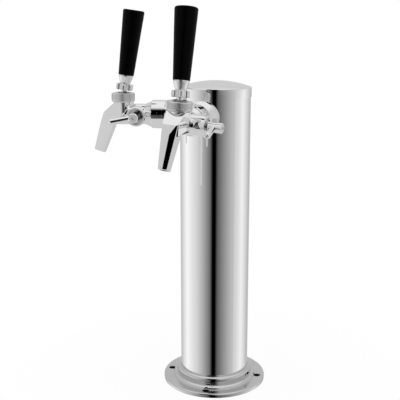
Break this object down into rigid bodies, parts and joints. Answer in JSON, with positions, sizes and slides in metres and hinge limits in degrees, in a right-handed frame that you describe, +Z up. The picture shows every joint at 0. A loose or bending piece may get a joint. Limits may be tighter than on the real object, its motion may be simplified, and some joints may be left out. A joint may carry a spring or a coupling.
{
  "type": "beer tower dispenser",
  "caption": "Column tower on a bolted round base, with lever-handled faucets on shanks, side flow-control levers and a lift-off cap.",
  "frame": {"origin": "centre of the base flange's underside, on the column's axis", "axes": "+Z up the column; -Y points midway between the taps, so it is the serving side; +X to the right seen from behind the taps"},
  "size_m": [0.1754, 0.1681, 0.4138],
  "materials": {
    "polished_steel": "mirror polished stainless steel",
    "satin_steel": "satin turned stainless steel",
    "turned_steel": "smooth turned stainless steel",
    "grip_plastic": "black, slight sheen",
    "seal_rubber": "black moulded rubber",
    "washer_plastic": "off-white plastic"
  },
  "bodies": {
    "tower": {"base_flange": "satin_steel", "collar_screw": "turned_steel", "column_tube": "polished_steel", "left_shank_flange": "polished_steel", "left_shank": "turned_steel", "left_saddle_washer": "washer_plastic", "left_lock_nut": "turned_steel", "left_inlet_gasket": "seal_rubber", "left_inlet_elbow": "turned_steel", "left_union_nut": "turned_steel", "left_coupling_gasket": "washer_plastic", "left_coupling_nut": "polished_steel", "left_faucet_body": "polished_steel", "left_spindle_seal": "seal_rubber", "left_spindle_gland": "turned_steel", "left_ball_seat": "seal_rubber", "left_ball_washer": "washer_plastic", "left_bonnet": "satin_steel", "right_shank_flange": "polished_steel", "right_shank": "turned_steel", "right_saddle_washer": "washer_plastic", "right_lock_nut": "turned_steel", "right_inlet_gasket": "seal_rubber", "right_inlet_elbow": "turned_steel", "right_union_nut": "turned_steel", "right_coupling_gasket": "washer_plastic", "right_coupling_nut": "polished_steel", "right_faucet_body": "polished_steel", "right_spindle_seal": "seal_rubber", "right_spindle_gland": "turned_steel", "right_ball_seat": "seal_rubber", "right_ball_washer": "washer_plastic", "right_bonnet": "satin_steel"},
    "cap": {"tower_cap": "polished_steel"},
    "left_handle": {"left_ball_lever": "turned_steel", "left_star_collar": "polished_steel", "left_handle_ferrule": "polished_steel", "left_handle_grip": "grip_plastic"},
    "left_plunger": {"left_plunger": "turned_steel", "left_plunger_seal": "seal_rubber"},
    "left_flow_lever": {"left_flow_spindle": "turned_steel", "left_flow_lever": "polished_steel", "left_flow_knob": "polished_steel"},
    "left_flow_cone": {"left_flow_cone": "washer_plastic"},
    "right_handle": {"right_ball_lever": "turned_steel", "right_star_collar": "polished_steel", "right_handle_ferrule": "polished_steel", "right_handle_grip": "grip_plastic"},
    "right_plunger": {"right_plunger": "turned_steel", "right_plunger_seal": "seal_rubber"},
    "right_flow_lever": {"right_flow_spindle": "turned_steel", "right_flow_lever": "polished_steel", "right_flow_knob": "polished_steel"},
    "right_flow_cone": {"right_flow_cone": "washer_plastic"}
  },
  "joints": [
    {"name": "cap_lift", "type": "slide", "parent": "tower", "child": "cap", "axis": [0, 0, 1], "range_m": [0, 0.03]},
    {"name": "left_handle_pull", "type": "hinge", "parent": "tower", "child": "left_handle", "pos_m": [-0.05948, -0.08039, 0.3195], "axis": [0.8039, -0.5948, 0], "range_deg": [0, 24]},
    {"name": "left_plunger_slide", "type": "slide", "parent": "tower", "child": "left_plunger", "axis": [0.5948, 0.8039, 0], "range_m": [0, 0.00689]},
    {"name": "left_flow_turn", "type": "hinge", "parent": "tower", "child": "left_flow_lever", "pos_m": [-0.04937, -0.06672, 0.3021], "axis": [-0.8039, 0.5948, 0], "range_deg": [-15, 75]},
    {"name": "left_cone_slide", "type": "slide", "parent": "tower", "child": "left_flow_cone", "axis": [-0.5948, -0.8039, 0], "range_m": [-0.0008, 0.004]},
    {"name": "right_handle_pull", "type": "hinge", "parent": "tower", "child": "right_handle", "pos_m": [0.06055, -0.07959, 0.31945], "axis": [0.8037, 0.5947, -0.0209], "range_deg": [0, 24]},
    {"name": "right_plunger_slide", "type": "slide", "parent": "tower", "child": "right_plunger", "axis": [-0.5948, 0.8039, 0], "range_m": [0, 0.00689]},
    {"name": "right_flow_turn", "type": "hinge", "parent": "tower", "child": "right_flow_lever", "pos_m": [0.04932, -0.06676, 0.3021], "axis": [-0.8013, -0.5929, 0.0802], "range_deg": [-15, 75]},
    {"name": "right_cone_slide", "type": "slide", "parent": "tower", "child": "right_flow_cone", "axis": [0.5948, -0.8039, 0], "range_m": [-0.0008, 0.004]}
  ],
  "couplings": [
    {"joint": "left_plunger_slide", "follows": "left_handle_pull", "m_per_rad": 0.016445},
    {"joint": "left_cone_slide", "follows": "left_flow_turn", "m_per_rad": 0.003056},
    {"joint": "right_plunger_slide", "follows": "right_handle_pull", "m_per_rad": 0.016445},
    {"joint": "right_cone_slide", "follows": "right_flow_turn", "m_per_rad": 0.003056}
  ]
}
